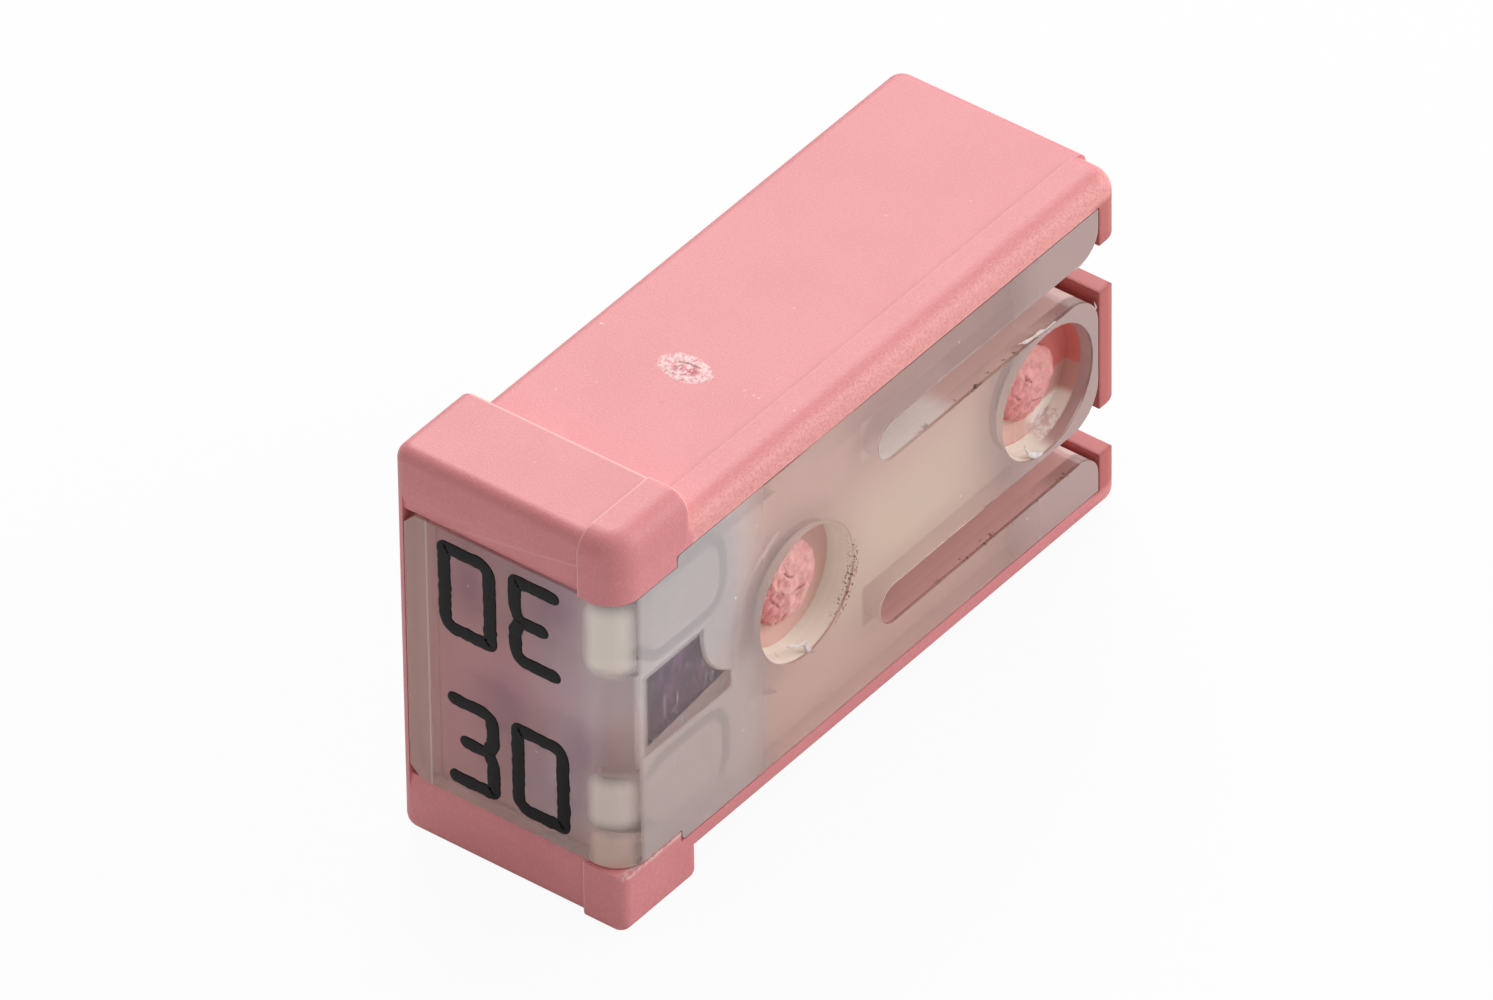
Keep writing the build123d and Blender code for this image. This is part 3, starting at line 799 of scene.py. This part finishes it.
def shaving(run, width, seed, base):
    """Thin ribbon along a smooth run: at each step an oval hoop, as wide as the run's own width with
    a random wander, that shrinks to nothing at both ends. The run and its width are given in
    millimetres, along the face and up from its middle, and its points are numbered from base."""
    run = np.array(run, float) * 0.001
    if len(run) > 2:
        legs = np.linalg.norm(np.diff(run, axis=0), axis=1)
        run = rounded_run(run, [0.35 * min(a, b) for a, b in zip(legs, legs[1:])])
    path = evened(run, path_step)
    count = len(path)
    aside = path_normals(path)
    share = np.linspace(0, 1, count)
    to_end = np.minimum(share, 1 - share) * count * path_step
    taper = np.clip(to_end / shaving_taper, 0.03, 1) ** 0.6
    half = width * 0.0005 * taper * np.clip(1 + 0.3 * wavy(count, 9, seed), 0.4, 1.6)
    turn = np.linspace(0, 2 * np.pi, 8, endpoint=False)
    x = path[:, :1] + aside[:, :1] * half[:, None] * np.cos(turn)
    z = middle_z + path[:, 1:2] + aside[:, 1:2] * half[:, None] * np.cos(turn)
    y = clear_y + shaving_depth + (shaving_half_thick * taper)[:, None] * np.sin(turn)
    points = np.stack([x, y, z], -1).reshape(-1, 3)
    index = base + np.arange(len(points)).reshape(count, 8)
    return points, hoop_faces(index) + [index[0].tolist(), index[-1].tolist()]


def shavings(name, runs):
    """One piece of several shavings, each given as its run and its width."""
    points, faces = [], []
    for number, (run, width) in enumerate(runs):
        base = sum(len(p) for p in points)
        new_points, new_faces = shaving(run, width, number * 5, base)
        points.append(new_points)
        faces += new_faces
    new_piece(name, np.concatenate(points), faces, shaved)


shavings("countersink_shavings", (
    (((5.9, 2.3), (6.3, 2.14), (6.7, 2.1), (7.05, 2.04)), 0.12),
    (((6.9, 2.02), (7.4, 2.04), (7.9, 1.84)), 0.1),
    (((6.15, -1.12), (6.34, -1.52), (6.7, -1.8), (7.05, -2.0)), 0.2),
    (((7.42, -1.93), (7.9, -1.92), (8.3, -1.84)), 0.1),
    (((9.1, 1.62), (9.16, 1.42), (9.08, 1.18)), 0.12),
    (((-3.65, -1.22), (-3.2, -1.5), (-2.95, -1.56), (-2.8, -1.88), (-2.58, -2.06)), 0.11),
    (((-2.66, -1.95), (-2.56, -2.1)), 0.2),
    (((-4.15, -1.1), (-4.0, -1.35)), 0.06),
    # The two pale flecks left of the first countersink are partly shavings, partly painted highlight.
    (((-5.62, 0.62), (-5.7, 0.3), (-5.52, 0.06), (-5.6, -0.25)), 0.09),
    (((-5.72, 0.3), (-5.5, 0.0)), 0.1),
))
shavings("slot_flash", (
    (((1.6, 3.25), (3.0, 3.26), (4.6, 3.25)), 0.05),
    (((4.5, 3.25), (6.5, 3.26), (7.9, 3.25)), 0.06),
    (((7.7, 3.25), (8.2, 3.24), (8.62, 3.16)), 0.14),
))

# ---------------------------------------------------------------------------------------------
# ROOM. A pale floor that the fuse stands on, leaning with the line from the collar's foot to the
# far edge, two soft lamps under a pale sky, and a camera with a long lens.

foot_x = housing_low[0] + 0.0025
edge_x = housing_high[0] - 0.0006
edge_z = 0.00093
floor_gap = 0.00003
floor_half = 0.6
paper_white = 0.82
paper_glow = 0.94           # share of the floor's own glow, as the camera sees it
sky_low, sky_high = 0.30, 0.60

slope = (edge_z - housing_low[2]) / (edge_x - foot_x)
floor_z = housing_low[2] - floor_gap
floor_points = [
    (foot_x + side_x * floor_half, side_y * floor_half, floor_z + slope * side_x * floor_half)
    for side_x, side_y in ((-1, -1), (1, -1), (1, 1), (-1, 1))
]
floor_mesh = bpy.data.meshes.new("floor")
floor_mesh.from_pydata(floor_points, [], [(0, 1, 2, 3)])
floor = bpy.data.objects.new("floor", floor_mesh)
bpy.context.scene.collection.objects.link(floor)
paper = Finish("white_paper")
paper.colour = (paper_white, paper_white, paper_white, 1.0)
paper.set(Roughness=0.9)
rays = paper.node("ShaderNodeLightPath").outputs
seen = paper.calc("ADD", rays["Is Camera Ray"], rays["Is Transmission Ray"], clamp=True)
glow = paper.node("ShaderNodeEmission")
glow.inputs["Strength"].default_value = 1.0
mixed = paper.node("ShaderNodeMixShader")
paper.wire(paper.both(seen, paper_glow), mixed.inputs[0])
paper.wire(paper.shader.outputs[0], mixed.inputs[1])
paper.wire(glow.outputs[0], mixed.inputs[2])
paper.wire(mixed.outputs[0], paper.nodes["Material Output"].inputs["Surface"])
floor_mesh.materials.append(paper.material)

world = bpy.data.worlds.new("studio")
bpy.context.scene.world = world
world.use_nodes = True
sky = world.node_tree
aim = sky.nodes.new("ShaderNodeTexCoord")
parts = sky.nodes.new("ShaderNodeSeparateXYZ")
level = sky.nodes.new("ShaderNodeMapRange")
level.inputs[1].default_value, level.inputs[2].default_value = 0.0, 1.0
level.inputs[3].default_value, level.inputs[4].default_value = sky_low, sky_high
soft = sky.nodes["Background"]
backdrop = sky.nodes.new("ShaderNodeBackground")
sky_rays = sky.nodes.new("ShaderNodeLightPath")
sky_seen = sky.nodes.new("ShaderNodeMath")
sky_seen.operation, sky_seen.use_clamp = "ADD", True
choose = sky.nodes.new("ShaderNodeMixShader")
for source, target in (
    (aim.outputs["Generated"], parts.inputs[0]),
    (parts.outputs[2], level.inputs[0]),
    (level.outputs[0], soft.inputs["Strength"]),
    (sky_rays.outputs["Is Camera Ray"], sky_seen.inputs[0]),
    (sky_rays.outputs["Is Transmission Ray"], sky_seen.inputs[1]),
    (sky_seen.outputs[0], choose.inputs[0]),
    (soft.outputs[0], choose.inputs[1]),
    (backdrop.outputs[0], choose.inputs[2]),
    (choose.outputs[0], sky.nodes["World Output"].inputs["Surface"]),
):
    sky.links.new(source, target)
soft.inputs["Color"].default_value = (1, 1, 1, 1)
backdrop.inputs["Color"].default_value = (1, 1, 1, 1)
backdrop.inputs["Strength"].default_value = 1.0


def softbox(name, place, target, width, power):
    """Square area lamp at a place, facing a target."""
    data = bpy.data.lights.new(name, "AREA")
    data.size = width
    data.energy = power
    lamp = bpy.data.objects.new(name, data)
    lamp.location = place
    lamp.rotation_euler = (Vector(target) - Vector(place)).to_track_quat("-Z", "Y").to_euler()
    bpy.context.scene.collection.objects.link(lamp)


heart = Vector((0.0, 0.0, middle_z))
softbox("back_softbox", (0.183, 0.144, 0.189), heart, 0.16, 0.52)
softbox("front_softbox", (0.185, -0.19, 0.145), heart, 0.18, 0.42)

azimuth, height, roll = math.radians(-51.885), math.radians(39.085), math.radians(-0.809)
distance = 0.5222
lens, sensor = 502.7, 36.0
shift_right, shift_up = -0.0004208, -0.0004753

flat = math.cos(height)
backward = Vector((math.sin(azimuth) * flat, -math.cos(azimuth) * flat, math.sin(height)))
level_right = Vector((0, 0, 1)).cross(backward).normalized()
level_up = backward.cross(level_right)
right = level_right * math.cos(roll) + level_up * math.sin(roll)
up = level_up * math.cos(roll) - level_right * math.sin(roll)
stand = heart + right * shift_right + up * shift_up + backward * distance
camera_data = bpy.data.cameras.new("camera")
camera_data.lens, camera_data.sensor_width = lens, sensor
camera_data.clip_start, camera_data.clip_end = 0.01, 5.0
camera = bpy.data.objects.new("camera", camera_data)
bpy.context.scene.collection.objects.link(camera)
facing = Matrix((right, up, backward)).transposed().to_4x4()
camera.matrix_world = Matrix.Translation(stand) @ facing
bpy.context.scene.camera = camera
bpy.context.scene.view_settings.view_transform = "Standard"
